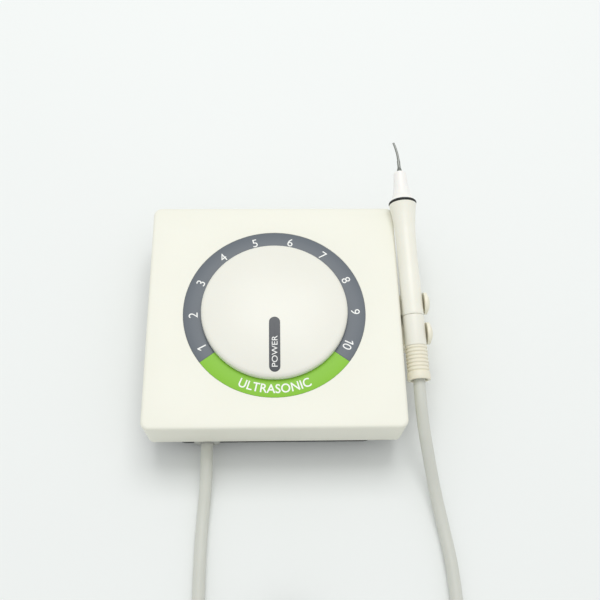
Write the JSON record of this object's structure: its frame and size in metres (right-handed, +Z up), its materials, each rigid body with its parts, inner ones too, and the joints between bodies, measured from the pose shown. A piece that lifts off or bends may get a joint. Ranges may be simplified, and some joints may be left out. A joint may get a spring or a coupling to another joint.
{
  "type": "ultrasonic scaler",
  "caption": "Square low desk unit with a large domed power dial and ring scale, and a slim tipped handpiece on a hose, laid in a two-lobed side holder.",
  "frame": {"origin": "middle of the outline of the unit with its holder, stored handpiece and hose gland, seen from above, on the surface that the rubber feet stand on", "axes": "+Z up, -Y is the front of the unit, where the hose comes out and the dial's coloured segment lies, +X towards the handpiece on the unit's right side"},
  "size_m": [0.215, 0.4509, 0.068],
  "materials": {
    "ivory_abs": "satin, moulded",
    "cream_abs": "satin, moulded",
    "cream_silicone": "matt, moulded",
    "charcoal_abs": "fine texture",
    "black_rubber": "matt",
    "slate_film": "satin",
    "lime_film": "satin",
    "stainless": "brushed",
    "zinc_steel": "plated",
    "brass_part": "machined",
    "titanium": "machined",
    "piezo": "fired",
    "board": "coated",
    "black_plastic": "moulded",
    "blue_plastic": "moulded",
    "pipe_plastic": "extruded",
    "white_plastic": "moulded",
    "aluminium": "extruded",
    "hose_silicone": "matt, extruded",
    "gold": "plated"
  },
  "bodies": {
    "unit": {"top_cover": "ivory_abs", "base_tray": "charcoal_abs", "rubber_feet": "black_rubber", "case_screws": "zinc_steel", "scale_ring": "slate_film", "colour_segment": "lime_film", "pot_body": "board", "pot_nut": "zinc_steel", "main_board": "board", "board_pillars": "brass_part", "board_screws": "zinc_steel", "heat_sink": "aluminium", "power_transistors": "black_plastic", "output_transformer": "black_plastic", "capacitors": "blue_plastic", "board_connectors": "white_plastic", "solenoid_valve": "brass_part", "valve_coil": "blue_plastic", "water_regulator": "brass_part", "water_inlet": "white_plastic", "inlet_nut": "zinc_steel", "feed_pipe": "pipe_plastic", "link_pipe": "pipe_plastic", "outlet_pipe": "pipe_plastic", "power_socket": "black_plastic", "foot_switch_socket": "black_plastic", "hose_gland": "cream_abs", "gland_nut": "zinc_steel", "handpiece_holder": "cream_abs", "holder_screws": "zinc_steel", "hose_left": "hose_silicone", "hose_coil": "hose_silicone", "hose_right": "hose_silicone", "hose_tie": "black_rubber"},
    "dial": {"knob": "ivory_abs", "knob_pointer": "slate_film", "pot_shaft": "zinc_steel"},
    "water_control": {"water_knob": "blue_plastic", "regulator_spindle": "stainless"},
    "hose_plug": {"strain_relief": "cream_silicone", "connector_shell": "cream_abs", "plug_core": "white_plastic", "plug_seals": "black_rubber", "contact_pins": "gold", "hose_end": "hose_silicone"},
    "handpiece": {"front_sleeve": "ivory_abs", "socket_insert": "black_plastic", "nose_ring": "black_rubber", "nose_cone": "ivory_abs"},
    "vibrator": {"scaling_tip": "stainless", "horn": "titanium", "piezo_rings": "piezo", "back_mass": "stainless", "clamp_bolt": "stainless"}
  },
  "joints": [
    {"name": "power_dial", "type": "hinge", "parent": "unit", "child": "dial", "pos_m": [-0.01165, -0.02518, 0.05], "axis": [0, 0, -1], "range_deg": [0, 300]},
    {"name": "water_dial", "type": "hinge", "parent": "unit", "child": "water_control", "pos_m": [-0.05965, 0.05627, 0.0118], "axis": [0, -1, 0], "range_deg": [0, 270]},
    {"name": "handpiece_lift", "type": "slide", "parent": "unit", "child": "hose_plug", "axis": [0, 0, 1], "range_m": [0, 0.05]},
    {"name": "handpiece_unplug", "type": "slide", "parent": "hose_plug", "child": "handpiece", "axis": [-0.0362, 0.9884, 0.1478], "range_m": [0, 0.03]},
    {"name": "tip_vibration", "type": "slide", "parent": "handpiece", "child": "vibrator", "axis": [-0.0362, 0.9884, 0.1478], "range_m": [-0.00005, 0.00005], "stiffness_N_per_m": 20000}
  ]
}
